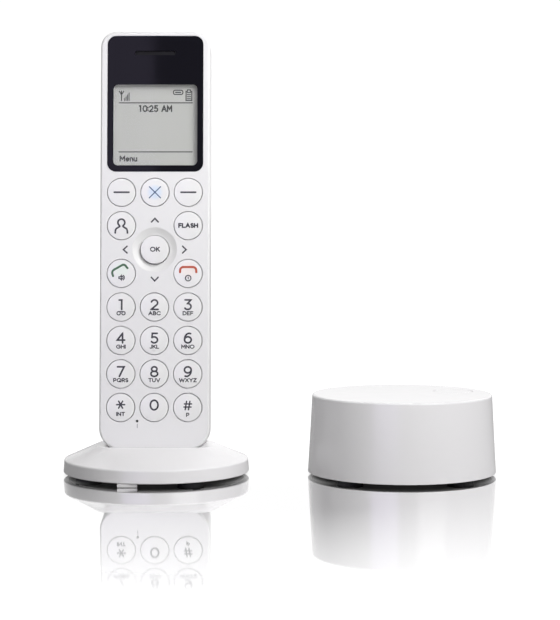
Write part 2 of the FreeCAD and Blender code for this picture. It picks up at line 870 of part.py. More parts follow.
def make_battery():
    """Two cells side by side, laid opposite ways, each between a flat contact and a coil spring."""
    cells, contacts = [], []
    axis = value("bay_floor + 0.15 + cell_radius")
    pitch = value("cell_radius + cell_gap")
    low, high = value("bay_low"), value("bay_high")
    thick = value("contact_thick")
    half_leaf = value("contact_size") / 2
    cell_length, nub = value("cell_length"), value("nub_length")
    spring_room = high - low - 2 * thick - cell_length - nub
    for side in (-1, 1):
        facing = FreeCAD.Rotation(FreeCAD.Vector(1, 0, 0), -90 * side)
        nub_end = high - thick if side > 0 else low + thick
        foot = FreeCAD.Vector(side * pitch, nub_end - side * (cell_length + nub), -axis)
        can = rod(f"cell_can_{side + 1}", "cell_radius", "cell_length")
        tip = rod(f"cell_tip_{side + 1}", "nub_radius", "nub_length + overlap",
            ("0", "0", "cell_length - overlap"))
        cell = fuse(f"cell_{side + 1}", can, tip)
        cell.Placement = FreeCAD.Placement(foot, facing)
        cells.append(cell)
        for end in (low, high - thick):
            leaf = doc.addObject("Part::Box", f"leaf_{side + 1}_{int(end)}")
            leaf.setExpression("Length", linked("contact_size"))
            leaf.setExpression("Width", linked("contact_thick"))
            leaf.setExpression("Height", linked("contact_size"))
            leaf_home = FreeCAD.Vector(side * pitch - half_leaf, end, -axis - half_leaf)
            leaf.Placement = FreeCAD.Placement(leaf_home, FreeCAD.Rotation())
            contacts.append(leaf)
        spring = doc.addObject("Part::Feature", f"cell_spring_{side + 1}")
        spring.Shape = coil(value("cell_spring_radius"), value("cell_spring_wire"), 3, spring_room - 0.1)
        spring_foot = foot - FreeCAD.Vector(0, side * (spring_room - 0.05), 0)
        spring.Placement = FreeCAD.Placement(spring_foot, facing)
        contacts.append(spring)
    place(group("battery_cells", cells), handset_place)
    place(group("battery_contacts", contacts), handset_place)


def make_charge_pads():
    corner_y = "pad_recess - pad_thick"
    pads = [
        block(f"pad_{name}", "pad_width", "pad_thick", "pad_tall",
            (f"{side}pad_x - pad_width / 2", corner_y, "-pad_back"))
        for name, side in (("left", "-"), ("right", ""))
    ]
    place(group("charge_pads", pads), handset_place)


def make_screw(name, shank, shank_length, head, head_length, x, y, seat):
    """A screw standing head down: the underside of its head is at the seat level."""
    stem = rod(f"{name}_shank", shank, f"({shank_length}) + 0.3", (x, y, f"({seat}) - 0.3"))
    cap = rod(f"{name}_head", head, head_length, (x, y, f"({seat}) - ({head_length})"))
    driven = subtract(f"{name}_driven", cap, cross_recess(name, head, x, y, f"({seat}) - ({head_length})"))
    return fuse(name, stem, driven)


def cross_recess(name, head, x, y, low):
    wide, narrow, deep = f"({head}) * 1.1", f"({head}) * 0.26", "recess_deep"
    arms = []
    for turn, (length, width) in enumerate(((wide, narrow), (narrow, wide))):
        corner = (f"({x}) - ({length}) / 2", f"({y}) - ({width}) / 2", f"({low}) - 0.1")
        arms.append(block(f"{name}_arm_{turn}", length, width, deep, corner))
    return fuse(f"{name}_cross", *arms)


def make_case_screws():
    screws = [
        make_screw(f"case_screw_{i}", "screw_radius", "screw_length", "screw_head", "screw_head_thick",
                    x, y, "-screw_seat")
        for i, (x, y) in enumerate(SCREW_SPOTS)
    ]
    place(group("case_screws", screws), handset_place)


# ---------------------------------------------------------------- cradle

def ring_spots(radius, angles):
    return [(f"{radius} * cos({angle} deg)", f"{radius} * sin({angle} deg)") for angle in angles]


CRADLE_FEET = ring_spots("cradle_foot_ring", (30, 120, 210, 300))
STATION_FEET = ring_spots("station_foot_ring", (45, 135, 225, 315))
CRADLE_SCREWS = ring_spots("cradle_screw_ring", (165, 345))
STATION_SCREWS = ring_spots("station_screw_ring", (348, 192, 90))


def mouth(inset):
    corner = f"mouth_corner - {inset}"
    return box(f"-mouth_half + {inset}", f"mouth_half - {inset}", f"mouth_front + {inset}",
               f"mouth_back - {inset}", corner, corner)


def make_cradle_top():
    """A round shell that rises from its rim to the straight-edged mouth of the handset's well."""
    top = new_body("cradle_top")
    loft(top, "Additive", [
        ("cradle_underside", disc("0", "0", "cradle_radius")),
        ("cradle_rim", disc("0", "0", "cradle_rim_radius")),
    ])
    loft(top, "Additive", [
        ("cradle_rim", disc("0", "0", "cradle_rim_radius")),
        ("mouth_height", mouth("0")),
    ])
    round_edges(top, "rim_round", at_level("cradle_rim"))
    round_edges(top, "cradle_edge_round", at_level("cradle_underside"))
    inner = "cradle_rim_radius - cradle_wall"
    cut(top, "cradle_underside - margin", "cradle_rim - cradle_wall", [disc("0", "0", inner)])
    loft(top, "Subtractive", [
        ("cradle_rim - cradle_wall - 0.1", disc("0", "0", inner)),
        ("mouth_height - cradle_wall", mouth("1")),
    ])
    add(top, "well_base", "mouth_height - 0.9", [
        box("-mouth_half + 0.6", "mouth_half - 0.6", "mouth_front - 0.2", "mouth_back + 0.6", "3", "3")])
    add(top, "cradle_plate_high + 0.05", "cradle_boss_top",
        [disc(x, y, "cradle_boss_radius") for x, y in CRADLE_SCREWS])
    cut(top, "cradle_plate_high - margin", "cradle_bore_top",
        [disc(x, y, "cradle_bore_radius") for x, y in CRADLE_SCREWS])
    pin_holes = [disc(f"{side}pad_x", "pin_y", "pin_radius + 0.2") for side in ("-", "")]
    cut(top, "cradle_plate_high", "mouth_height", pin_holes)
    cut_back(top, "30", [disc("0", "cradle_jack_z", "cradle_bore + 0.15")], "20")
    well_cut(top)
    place(top, cradle_place)


def well_cut(top):
    """The well follows the handset's end with a small gap, along the handset's own lean."""
    sketch = top.newObject("Sketcher::SketchObject", "well_outline")
    support = next(item for item in top.Origin.OriginFeatures if item.Role == "XY_Plane")
    sketch.AttachmentSupport = [(support, "")]
    sketch.MapMode = "FlatFace"
    gap_out = FreeCAD.Vector(0, 0, value("well_gap"))
    front = FreeCAD.Vector(0, value("handset_foot_y"),
        value("handset_foot_z")) + handset_turn.multVec(gap_out)
    sketch.AttachmentOffset = FreeCAD.Placement(front, handset_turn)
    half = "handset_width / 2 + well_gap"
    draw_box(sketch, f"-({half})", half, "-well_gap", "40", "corner_low + well_gap", None)
    well = top.newObject("PartDesign::Pocket", "well")
    well.Profile = sketch
    well.setExpression("Length", linked("handset_depth + 2 * well_gap"))
    top.Tip = well
    sketch.Visibility = False


def make_cradle_bottom():
    """The floor plate, with its foot recesses, screw seats, board rests and the pale tab at its front."""
    plate = new_body("cradle_bottom")
    add(plate, "cradle_plate_low", "cradle_plate_high", [disc("0", "0", "cradle_radius - cradle_wall - 0.7")])
    cut(plate, "0", "cradle_plate_low + foot_sink",
        [disc(x, y, "foot_radius + foot_gap") for x, y in CRADLE_FEET])
    cut(plate, "0", "cradle_plate_high + margin",
        [disc(x, y, "cradle_screw_radius + 0.2") for x, y in CRADLE_SCREWS])
    cut(plate, "0", "cradle_plate_low + head_sink",
        [disc(x, y, "cradle_screw_head + 0.2") for x, y in CRADLE_SCREWS])
    rests = [("-12", "-8"), ("12", "-8"), ("-12", "6"), ("12", "6")]
    add(plate, "cradle_plate_high - 0.2", "cradle_plate_high + board_rest",
        [disc(x, y, "rest_radius") for x, y in rests])
    add(plate, "tab_low", "cradle_plate_low + 0.1", [box("tab_left", "tab_right", "tab_front", "tab_back")])
    half = "cradle_jack_half + jack_slack"
    front = "cradle_jack_back - cradle_jack_long - jack_slack"
    cut(plate, "0", "cradle_plate_high + margin", [box(f"-({half})", half, front, "cradle_radius")])
    place(plate, cradle_place)


def make_feet(label, spots, home, plate_low):
    feet = []
    for i, (x, y) in enumerate(spots):
        feet.append(rod(f"{label}_{i}", "foot_radius", f"{plate_low} + foot_sink - 0.02", (x, y, "0")))
    place(group(label, feet), home)


def make_cradle_inside():
    board = new_body("cradle_board")
    outline = box("-cradle_board_half", "cradle_board_half", "cradle_board_front", "cradle_board_back",
        "2", "2")
    low = "cradle_plate_high + board_rest"
    add(board, low, f"{low} + cradle_board_thick", [outline])
    place(board, cradle_place)
    jack = new_body("cradle_jack")
    outline = box("-cradle_jack_half", "cradle_jack_half", "cradle_jack_back - cradle_jack_long",
        "cradle_jack_back")
    add(jack, "cradle_jack_low", "cradle_jack_high", [outline])
    cut_back(jack, "10", [disc("0", "cradle_jack_z", "cradle_bore")], "cradle_jack_back - cradle_pin_long")
    add_back(jack, "cradle_pin_long", [disc("0", "cradle_jack_z", "cradle_pin_radius")],
             "cradle_jack_back - cradle_pin_long - overlap")
    place(jack, cradle_place)
    screws = [
        make_screw(f"cradle_screw_{i}", "cradle_screw_radius", "cradle_screw_length", "cradle_screw_head",
                    "head_thick", x, y, "cradle_plate_low + head_sink")
        for i, (x, y) in enumerate(CRADLE_SCREWS)
    ]
    place(group("cradle_screws", screws), cradle_place)


def make_charge_pin(name, x):
    """A spring-loaded contact: round tip, collar under the well's floor, short tail inside the spring."""
    pin = new_body(f"charge_pin_{name}")
    revolve(
        pin,
        [
            ("0", "pin_tail_low"),
            ("pin_tail_radius", "pin_tail_low"),
            ("pin_tail_radius", "collar_low"),
            ("pin_collar", "collar_low"),
            ("pin_collar", "collar_high"),
            ("pin_radius", "collar_high"),
            ("pin_radius", "pin_tip - pin_crown"),
            ("0", "pin_tip"),
        ],
        crowned=True,
    )
    place(pin, cradle_place, x, "pin_y")
    spring = doc.addObject("Part::Feature", f"charge_spring_{name}")
    spring.Label = f"charge_spring_{name}"
    spring_low = "cradle_plate_high + board_rest + cradle_board_thick + board_clear"
    tall = value(f"collar_low - board_clear - ({spring_low})")
    spring.Shape = coil(value("pin_spring_radius"), value("pin_spring_wire"), 4, tall)
    nodes.append(spring)
    place(spring, cradle_place, x, "pin_y", spring_low)


# ---------------------------------------------------------------- station


def make_station_housing():
    housing = new_body("station_housing")
    inner_low = "station_radius - station_wall"
    inner_high = "station_top_radius - station_wall"
    revolve(
        housing,
        [
            (inner_low, "station_underside"),
            ("station_radius", "station_underside"),
            ("station_top_radius", "station_height"),
            ("0", "station_height"),
            ("0", "station_height - station_wall"),
            (inner_high, "station_height - station_wall"),
        ],
    )
    round_edges(housing, "station_round", at_level("station_height"))
    add(housing, "station_plate_high + 0.1", "station_height - margin",
        [disc(x, y, "station_boss_radius") for x, y in STATION_SCREWS])
    cut(housing, "0", "station_bore_top", [disc(x, y, "station_bore_radius") for x, y in STATION_SCREWS])
    cut(housing, "station_height - station_wall - margin", "station_height + margin",
        [disc("button_x", "button_y", "button_radius + button_gap")])
    half = "line_open_half"
    opening = box(f"line_jack_x - {half}", f"line_jack_x + {half}", "line_jack_z - line_open_tall / 2",
                  "line_jack_z + line_open_tall / 2")
    cut_back(housing, "40", [opening, disc("station_jack_x", "station_jack_z", "station_bore + 0.3")], "8")
    place(housing, station_place)


def make_station_bottom():
    plate = new_body("station_bottom")
    radius = "station_radius - station_wall - 0.3"
    add(plate, "station_underside", "station_plate_high", [disc("0", "0", radius)])
    cut(plate, "0", "station_underside + foot_sink",
        [disc(x, y, "foot_radius + foot_gap") for x, y in STATION_FEET])
    cut(plate, "0", "station_plate_high + margin",
        [disc(x, y, "station_screw_radius + 0.3") for x, y in STATION_SCREWS])
    cut(plate, "0", "station_underside + head_sink",
        [disc(x, y, "station_screw_head + 0.2") for x, y in STATION_SCREWS])
    posts = [("-21", "-8"), ("21", "-8"), ("-21", "20"), ("21", "20")]
    add(plate, "station_plate_high - 0.2", "station_board_low",
        [disc(x, y, "station_post_radius") for x, y in posts])
    place(plate, station_place)


def make_station_inside():
    board = new_body("station_board")
    add(board, "station_board_low", "station_board_high", [
        box("-station_board_half", "station_board_half", "station_board_front", "station_board_half",
            "station_board_corner", "station_board_corner")])
    place(board, station_place)
    line = new_body("line_jack")
    x, z, half = "line_jack_x", "line_jack_z", "line_open_half"
    add(line, "station_board_high + power_foot", "line_high",
        [box(f"{x} - line_half", f"{x} + line_half", "line_front", "line_back")])
    opening = box(f"{x} - {half}", f"{x} + {half}", f"{z} - line_open_tall / 2", f"{z} + line_open_tall / 2")
    latch = box(f"{x} - latch_half", f"{x} + latch_half", f"{z} - line_open_tall / 2 - latch_drop", z)
    cut_back(line, "line_back", [opening], "line_floor")
    cut_back(line, "line_back", [latch], "latch_floor")
    place(line, station_place)
    jack = new_body("station_jack")
    x, z = "station_jack_x", "station_jack_z"
    add(jack, "station_board_high + power_foot", "power_high",
        [box(f"{x} - power_half", f"{x} + power_half", "power_front", "power_back")])
    cut_back(jack, "power_back", [disc(x, z, "station_bore")], "power_floor")
    add_back(jack, "10", [disc(x, z, "station_pin_radius")], "power_floor - overlap")
    place(jack, station_place)
    antennas = [
        block("antenna_left", "aerial_wall", "aerial_long", "aerial_tall",
            ("-24", "-10", "station_board_high + board_clear")),
        block("antenna_front", "aerial_long", "aerial_wall", "aerial_tall",
            ("2", "-11", "station_board_high + board_clear")),
    ]
    place(group("station_antennas", antennas), station_place)
    switch = new_body("page_switch")
    sx, sy = "button_x - 1", "button_y"
    body = box(f"{sx} - switch_half", f"{sx} + switch_half", f"{sy} - switch_half", f"{sy} + switch_half")
    add(switch, "station_board_high + board_clear", "switch_high", [body])
    add(switch, "switch_high - overlap", "switch_cap_high", [disc(sx, sy, "switch_cap_radius")])
    place(switch, station_place)
    screws = [
        make_screw(f"station_screw_{i}", "station_screw_radius", "station_screw_length", "station_screw_head",
                    "head_thick", sx, sy, "station_underside + head_sink")
        for i, (sx, sy) in enumerate(STATION_SCREWS)
    ]
    place(group("station_screws", screws), station_place)


def make_page_button():
    button = new_body("page_button")
    revolve(
        button,
        [
            ("0", "button_stem_low"),
            ("button_stem_radius", "button_stem_low"),
            ("button_stem_radius", "station_height - button_flange_low"),
            ("button_flange", "station_height - button_flange_low"),
            ("button_flange", "station_height - station_wall - button_slack"),
            ("button_radius", "station_height - station_wall - button_slack"),
            ("button_radius", "station_height - button_slack"),
            ("button_radius - button_edge", "station_height"),
            ("0", "station_height"),
        ],
    )
    place(button, station_place, "button_x", "button_y")


# ---------------------------------------------------------------- the whole object

for key_label, (key_x, key_y) in KEYS.items():
    make_key(key_label, key_x, key_y)
make_centre_key()
make_five_way_switch()
make_front_cover()
make_rear_cover()
make_battery_door()
make_lens()
make_grille()
make_inside()
make_battery()
make_charge_pads()
make_case_screws()
make_cradle_top()
make_cradle_bottom()
make_feet("cradle_feet", CRADLE_FEET, cradle_place, "cradle_plate_low")
make_cradle_inside()
make_charge_pin("left", "-pad_x")
make_charge_pin("right", "pad_x")
make_station_housing()
make_station_bottom()
make_feet("station_feet", STATION_FEET, station_place, "station_underside")
make_station_inside()
make_page_button()

doc.recompute()
faults = [item.Name for item in doc.Objects if "Invalid" in item.State or "Error" in item.State]
faults += [node.Label for node in nodes if node.Shape.isNull() or not node.Shape.isValid()]
if faults:
    raise RuntimeError(f"failed features: {faults}")

os.makedirs("parts", exist_ok=True)
for node in nodes:
    node.Shape.exportStep(f"parts/{node.Label}.step")
print(len(nodes), "nodes written")
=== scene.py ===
import json
import math

import bmesh
import bpy
from mathutils import Matrix, Vector
from mathutils.bvhtree import BVHTree


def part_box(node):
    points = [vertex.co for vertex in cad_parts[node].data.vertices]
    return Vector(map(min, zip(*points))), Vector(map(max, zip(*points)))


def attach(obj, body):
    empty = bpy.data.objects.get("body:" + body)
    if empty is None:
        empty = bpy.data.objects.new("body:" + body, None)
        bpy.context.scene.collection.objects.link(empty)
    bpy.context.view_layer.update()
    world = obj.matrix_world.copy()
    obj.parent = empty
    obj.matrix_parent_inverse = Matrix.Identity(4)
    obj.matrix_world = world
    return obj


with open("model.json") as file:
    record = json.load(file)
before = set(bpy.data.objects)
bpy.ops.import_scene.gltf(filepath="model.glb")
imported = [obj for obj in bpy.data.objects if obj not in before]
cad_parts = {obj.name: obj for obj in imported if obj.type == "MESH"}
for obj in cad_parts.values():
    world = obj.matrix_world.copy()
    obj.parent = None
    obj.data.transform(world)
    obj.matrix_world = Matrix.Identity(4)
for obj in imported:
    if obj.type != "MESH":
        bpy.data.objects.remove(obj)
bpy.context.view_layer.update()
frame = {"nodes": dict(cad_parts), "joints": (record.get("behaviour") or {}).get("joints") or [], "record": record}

MM = 0.001
ACROSS = Vector((1, 0, 0))
LIFT = next(j for j in frame["joints"] if j["name"] == "handset_lift")
UP = Vector(LIFT["axis"]).normalized()
OUT = ACROSS.cross(UP)


# ---------------------------------------------------------------- where things are


def spread(node):
    """Lowest and highest (across, up, out) of a CAD node, along the handset's own axes."""
    corners = [v.co for v in frame["nodes"][node].data.vertices]
    points = [Vector((co.dot(ACROSS), co.dot(UP), co.dot(OUT))) for co in corners]
    low = Vector(min(p[i] for p in points) for i in range(3))
    high = Vector(max(p[i] for p in points) for i in range(3))
    return low, high


def middle(node):
    low, high = spread(node)
    return Vector(((low.x + high.x) / 2, (low.y + high.y) / 2, high.z))


def surface(node):
    """The node's mesh as something that a straight line can be dropped onto."""
    mesh = frame["nodes"][node].data
    return BVHTree.FromPolygons([v.co for v in mesh.vertices], [p.vertices for p in mesh.polygons])


def handset_point(x, y, z):
    return ACROSS * x + UP * y + OUT * z


# ---------------------------------------------------------------- materials


def blank(name):
    material = bpy.data.materials.new(name)
    material.use_nodes = True
    material.node_tree.nodes.clear()
    return material, material.node_tree


def add(tree, kind, values=(), **settings):
    node = tree.nodes.new("ShaderNode" + kind)
    for key, value in settings.items():
        setattr(node, key, value)
    for key, value in dict(values).items():
        if isinstance(value, bpy.types.NodeSocket):
            tree.links.new(value, node.inputs[key])
        else:
            node.inputs[key].default_value = value
    return node


def shade(colour, factor):
    return tuple(min(1.0, c * factor) for c in colour) + (1.0,)


def finish_shader(tree, shader):
    output = add(tree, "OutputMaterial")
    tree.links.new(shader, output.inputs["Surface"])


def grain(tree, scale, detail=3.0):
    """Noise in the part's own space; scale is in features per metre."""
    place = add(tree, "TexCoord").outputs["Object"]
    return add(tree, "TexNoise", {"Vector": place, "Scale": scale, "Detail": detail}).outputs["Fac"]


def ramp(tree, source, low, high, start=0.3, end=0.7):
    """Source from start to end turned into low to high."""
    return add(
        tree,
        "MapRange",
        {"Value": source, "From Min": start, "From Max": end, "To Min": low, "To Max": high},
    ).outputs["Result"]


def mixed(tree, factor, first, second):
    """One colour turning into another."""
    node = add(tree, "Mix", data_type="RGBA")
    colours = [socket for socket in node.inputs if socket.type == "RGBA"]
    tree.links.new(factor, node.inputs["Factor"])
    for socket, colour in zip(colours, (first, second)):
        if isinstance(colour, bpy.types.NodeSocket):
            tree.links.new(colour, socket)
        else:
            socket.default_value = colour
    return next(socket for socket in node.outputs if socket.type == "RGBA")


def principled(tree, colour, roughness, normal=None, **values):
    inputs = {"Base Color": colour, "Roughness": roughness}
    inputs.update({key.replace("_", " "): value for key, value in values.items()})
    if normal is not None:
        inputs["Normal"] = normal
    return add(tree, "BsdfPrincipled", inputs).outputs["BSDF"]


def bump(tree, height, depth):
    return add(tree, "Bump", {"Height": height, "Distance": depth, "Strength": 1.0}).outputs["Normal"]


def dotted_with(tree, vector, direction):
    """The length of a vector along a direction."""
    return add(tree, "VectorMath", {0: vector, 1: direction}, operation="DOT_PRODUCT").outputs["Value"]


def combined(tree, operation, first, second):
    return add(tree, "Math", {0: first, 1: second}, operation=operation).outputs["Value"]


def smooth_step(tree, source, start, end, low, high):
    return add(
        tree,
        "MapRange",
        {"Value": source, "From Min": start, "From Max": end, "To Min": low, "To Max": high},
        interpolation_type="SMOOTHSTEP",
    ).outputs["Result"]


CLOUDS = 28.0
SMEARS = 160.0
CAP_GRAIN = 2600.0
CAP_DEPTH = 0.000001


def moulding(name, colour, rough, texture=2200.0, depth=0.0000015, drift=0.004):
    """Moulded plastic or rubber: slow drift of tone, fine spark-eroded grain and uneven gloss."""
    material, tree = blank(name)
    slow = ramp(tree, grain(tree, CLOUDS), 0.0, 1.0)
    tone = mixed(tree, slow, shade(colour, 1 - drift), shade(colour, 1 + drift))
    fine = grain(tree, texture, 2.0)
    gloss = ramp(tree, grain(tree, SMEARS), rough * 0.96, rough * 1.04)
    finish_shader(tree, principled(tree, tone, gloss, bump(tree, fine, depth)))
    return material


def metal(name, colour, rough, brushed=(1, 1, 30)):
    """Metal with fine drawn lines and slight tarnish."""
    material, tree = blank(name)
    place = add(tree, "TexCoord").outputs["Object"]
    stretched = add(tree, "Mapping", {"Vector": place, "Scale": brushed}).outputs["Vector"]
    lines = add(tree, "TexNoise", {"Vector": stretched, "Scale": 900.0, "Detail": 3.0}).outputs["Fac"]
    tone = mixed(tree, ramp(tree, grain(tree, 120.0), 0.0, 1.0), shade(colour, 0.86), shade(colour, 1.06))
    gloss = ramp(tree, lines, rough * 0.75, rough * 1.3)
    finish_shader(tree, principled(tree, tone, gloss, bump(tree, lines, 0.000004), Metallic=1.0))
    return material


def printed(name, colour, rough=0.42):
    """Screen-printed ink, a little uneven."""
    return moulding(name, colour, rough, texture=6000.0, depth=0.000002, drift=0.06)


def tinted_key(name, colour, glow, centre, reach):
    """A key cap whose print has a soft tint round it."""
    material, tree = blank(name)
    place = add(tree, "TexCoord").outputs["Object"]
    away = add(tree, "VectorMath", {0: place, 1: centre}, operation="DISTANCE").outputs["Value"]
    slow = ramp(tree, grain(tree, CLOUDS), 0.0, 1.0)
    plain = mixed(tree, slow, shade(colour, 0.996), shade(colour, 1.004))
    near = smooth_step(tree, away, reach * 0.35, reach, 1.0, 0.0)
    tone = mixed(tree, near, plain, glow + (1.0,))
    gloss = ramp(tree, grain(tree, SMEARS), 0.29, 0.31)
    finish_shader(tree, principled(tree, tone, gloss, bump(tree, grain(tree, CAP_GRAIN, 2.0), CAP_DEPTH)))
    return material


def rounded_mask(tree, centre, half, corner, soft):
    """1 outside a rounded rectangle on the handset's face and 0 inside it."""
    place = add(tree, "TexCoord").outputs["Object"]
    across, along = dotted_with(tree, place, ACROSS), dotted_with(tree, place, UP)
    flat = add(tree, "CombineXYZ", {"X": across, "Y": along}).outputs["Vector"]
    middle_point = (centre.x, centre.y, 0)
    offset = add(tree, "VectorMath", {0: flat, 1: middle_point}, operation="SUBTRACT").outputs["Vector"]
    folded = add(tree, "VectorMath", {0: offset}, operation="ABSOLUTE").outputs["Vector"]
    inner = (half.x - corner, half.y - corner, 0)
    beyond = add(tree, "VectorMath", {0: folded, 1: inner}, operation="SUBTRACT").outputs["Vector"]
    outside = add(tree, "VectorMath", {0: beyond, 1: (0, 0, 0)}, operation="MAXIMUM").outputs["Vector"]
    away = add(tree, "VectorMath", {0: outside}, operation="LENGTH").outputs["Value"]
    return ramp(tree, away, 0.0, 1.0, corner - soft, corner + soft)


LENS_IOR = 1.16


def lens(name, centre, half, corner):
    """A flat acrylic lens with black print behind it and a clear window."""
    material, tree = blank(name)
    smudge = ramp(tree, grain(tree, 90.0), 0.03, 0.06)
    ink = mixed(tree, grain(tree, 40.0), (0.0030, 0.0026, 0.0062, 1), (0.0044, 0.0038, 0.0080, 1))
    black = principled(tree, ink, smudge, IOR=LENS_IOR)
    clear = add(tree, "BsdfTransparent", {"Color": (0.985, 0.987, 0.984, 1)}).outputs["BSDF"]
    mirror = add(tree, "BsdfGlossy", {"Color": (1, 1, 1, 1), "Roughness": smudge}).outputs["BSDF"]
    angle = add(tree, "Fresnel", {"IOR": LENS_IOR}).outputs["Fac"]
    inside = add(tree, "NewGeometry").outputs["Backfacing"]
    share = combined(tree, "MULTIPLY", angle, combined(tree, "SUBTRACT", 1.0, inside))
    pane = add(tree, "MixShader", {0: share, 1: clear, 2: mirror}).outputs["Shader"]
    mask = rounded_mask(tree, centre, half, corner, 0.04 * MM)
    finish_shader(tree, add(tree, "MixShader", {0: mask, 1: pane, 2: black}).outputs["Shader"])
    return material


DOTS_PER_METRE = 3000
# painted glow: the crystal is no lamp, yet gives off this much light to brighten it
SCREEN_PAINTED_GLOW = 0.04


def display(name, colour, centre, half, corner):
    """A reflective liquid crystal: pale grey, with a faint dot grid, a painted shadow of the lens frame darkening
    its edges, and a faint painted glow.
    """
    material, tree = blank(name)
    place = add(tree, "TexCoord").outputs["Object"]
    across = dotted_with(tree, place, ACROSS * DOTS_PER_METRE)
    along = dotted_with(tree, place, UP * DOTS_PER_METRE)
    cell = add(tree, "CombineXYZ", {"X": across, "Y": along}).outputs["Vector"]
    inside = add(tree, "VectorMath", {0: cell}, operation="FRACTION").outputs["Vector"]
    parts = add(tree, "SeparateXYZ", {"Vector": inside})
    edge = combined(tree, "MINIMUM", parts.outputs["X"], parts.outputs["Y"])
    gap = ramp(tree, edge, 1.0, 0.0, 0.0, 0.12)
    tone = mixed(tree, ramp(tree, grain(tree, 35.0), 0.0, 1.0), shade(colour, 0.985), shade(colour, 1.015))
    dotted = mixed(tree, gap, tone, shade(colour, 0.94))
    # painted shadow: the crystal's edges are darkened where the lens frame would shade them
    painted_lens_shadow = rounded_mask(tree, centre, half * 0.93, corner, 1.4 * MM)
    shaded = mixed(tree, painted_lens_shadow, dotted, shade(colour, 0.9))
    gloss = ramp(tree, grain(tree, 200.0), 0.45, 0.6)
    # painted glow of the crystal, in its own shaded tone
    lit = {"Emission Color": shaded, "Emission Strength": SCREEN_PAINTED_GLOW}
    finish_shader(tree, principled(tree, shaded, gloss, **lit))
    return material


def mesh_metal(name, colour):
    """Fine perforated sheet: round holes in a grey web, dented by the bump and coloured dark as painted shade."""
    material, tree = blank(name)
    place = add(tree, "TexCoord").outputs["Object"]
    cells = add(tree, "TexVoronoi", {"Vector": place, "Scale": 2100.0, "Randomness": 0.0}).outputs["Distance"]
    hole = ramp(tree, cells, 1.0, 0.0, 0.25, 0.34)
    # painted shade: the holes are coloured almost black for the dark inside them
    tone = mixed(tree, hole, shade(colour, 1.0), (0.004, 0.004, 0.005, 1))
    gloss = ramp(tree, grain(tree, 300.0), 0.35, 0.5)
    finish_shader(tree, principled(tree, tone, gloss, bump(tree, hole, -0.00012), IOR=1.18))
    return material


def circuit(name, colour):
    """Solder resist over faint copper tracks."""
    material, tree = blank(name)
    place = add(tree, "TexCoord").outputs["Object"]
    tracks = add(
        tree,
        "TexBrick",
        {
            "Vector": place,
            "Scale": 180.0,
            "Mortar Size": 0.03,
            "Color1": shade(colour, 1.0),
            "Color2": shade(colour, 0.82),
            "Mortar": shade(colour, 1.7),
        },
    ).outputs["Color"]
    finish_shader(tree, principled(tree, tracks, ramp(tree, grain(tree, 90.0), 0.25, 0.4)))
    return material


def film(name, colour):
    """Thin milky polyester."""
    material, tree = blank(name)
    tone = mixed(tree, grain(tree, 60.0), shade(colour, 0.95), shade(colour, 1.0))
    finish_shader(tree, principled(tree, tone, ramp(tree, grain(tree, 200.0), 0.15, 0.3)))
    return material


WHITE = (0.822, 0.818, 0.82)
KEY_WHITE = (0.845, 0.84, 0.842)
TINTED_KEY_WHITE = (0.86, 0.853, 0.865)
BASE_WHITE = (0.84, 0.828, 0.84)
INK = (0.02, 0.02, 0.026)
RUBBER = (0.012, 0.012, 0.013)
CONE = (0.02, 0.02, 0.021)
CRYSTAL = (0.50, 0.503, 0.485)

panel_low, panel_high = spread("lcd_panel")
window_centre = (panel_low + panel_high) / 2
PANEL_EDGE = 1.2 * MM
panel_half = (panel_high - panel_low) / 2
window_half = Vector((panel_half.x - PANEL_EDGE, panel_half.y - PANEL_EDGE, 0))
WINDOW_CORNER = 1.9 * MM

FINISHES = {
    "shell_white": moulding("satin_white_shell", WHITE, 0.32),
    "key_white": moulding("satin_white_key", KEY_WHITE, 0.3, texture=CAP_GRAIN, depth=CAP_DEPTH),
    "base_white": moulding("gloss_white_base", BASE_WHITE, 0.16, depth=CAP_DEPTH),
    "base_under": moulding("matte_white_under", (0.72, 0.71, 0.71), 0.45),
    "foot_black": moulding("black_rubber", RUBBER, 0.75, texture=1500.0, depth=0.00002, drift=0.15),
    "lens_black": lens("black_lens", window_centre, window_half, WINDOW_CORNER),
    "lcd_grey": display("grey_display", CRYSTAL, window_centre, window_half, WINDOW_CORNER),
    "grille_metal": mesh_metal("earpiece_mesh", (0.008, 0.0078, 0.009)),
    "speaker_black": moulding("speaker_cone", CONE, 0.6, texture=900.0, depth=0.00002, drift=0.1),
    "board_green": circuit("green_board", (0.012, 0.10, 0.035)),
    "tin_plate": metal("tin_plate", (0.62, 0.62, 0.60), 0.3),
    "silicone_grey": moulding("grey_silicone", (0.30, 0.30, 0.31), 0.6, texture=1200.0),
    "film_clear": film("milky_film", (0.72, 0.73, 0.74)),
    "contact_metal": metal("nickel_contact", (0.66, 0.63, 0.58), 0.25),
    "pin_gold": metal("gold_pin", (0.83, 0.58, 0.24), 0.2),
    "cell_sleeve": moulding("cell_sleeve", (0.05, 0.09, 0.24), 0.3, drift=0.08),
    "screw_steel": metal("blackened_steel", (0.26, 0.26, 0.27), 0.35),
    "spring_steel": metal("spring_steel", (0.55, 0.55, 0.56), 0.28, brushed=(30, 30, 1)),
    "socket_black": moulding("black_socket", (0.015, 0.015, 0.016), 0.4, drift=0.1),
    "switch_black": moulding("black_switch", (0.02, 0.02, 0.02), 0.45, drift=0.1),
}

for row in frame["record"]["subparts"]:
    part = frame["nodes"][row["node"]]
    part.data.materials.clear()
    part.data.materials.append(FINISHES[row["material_slot"]])

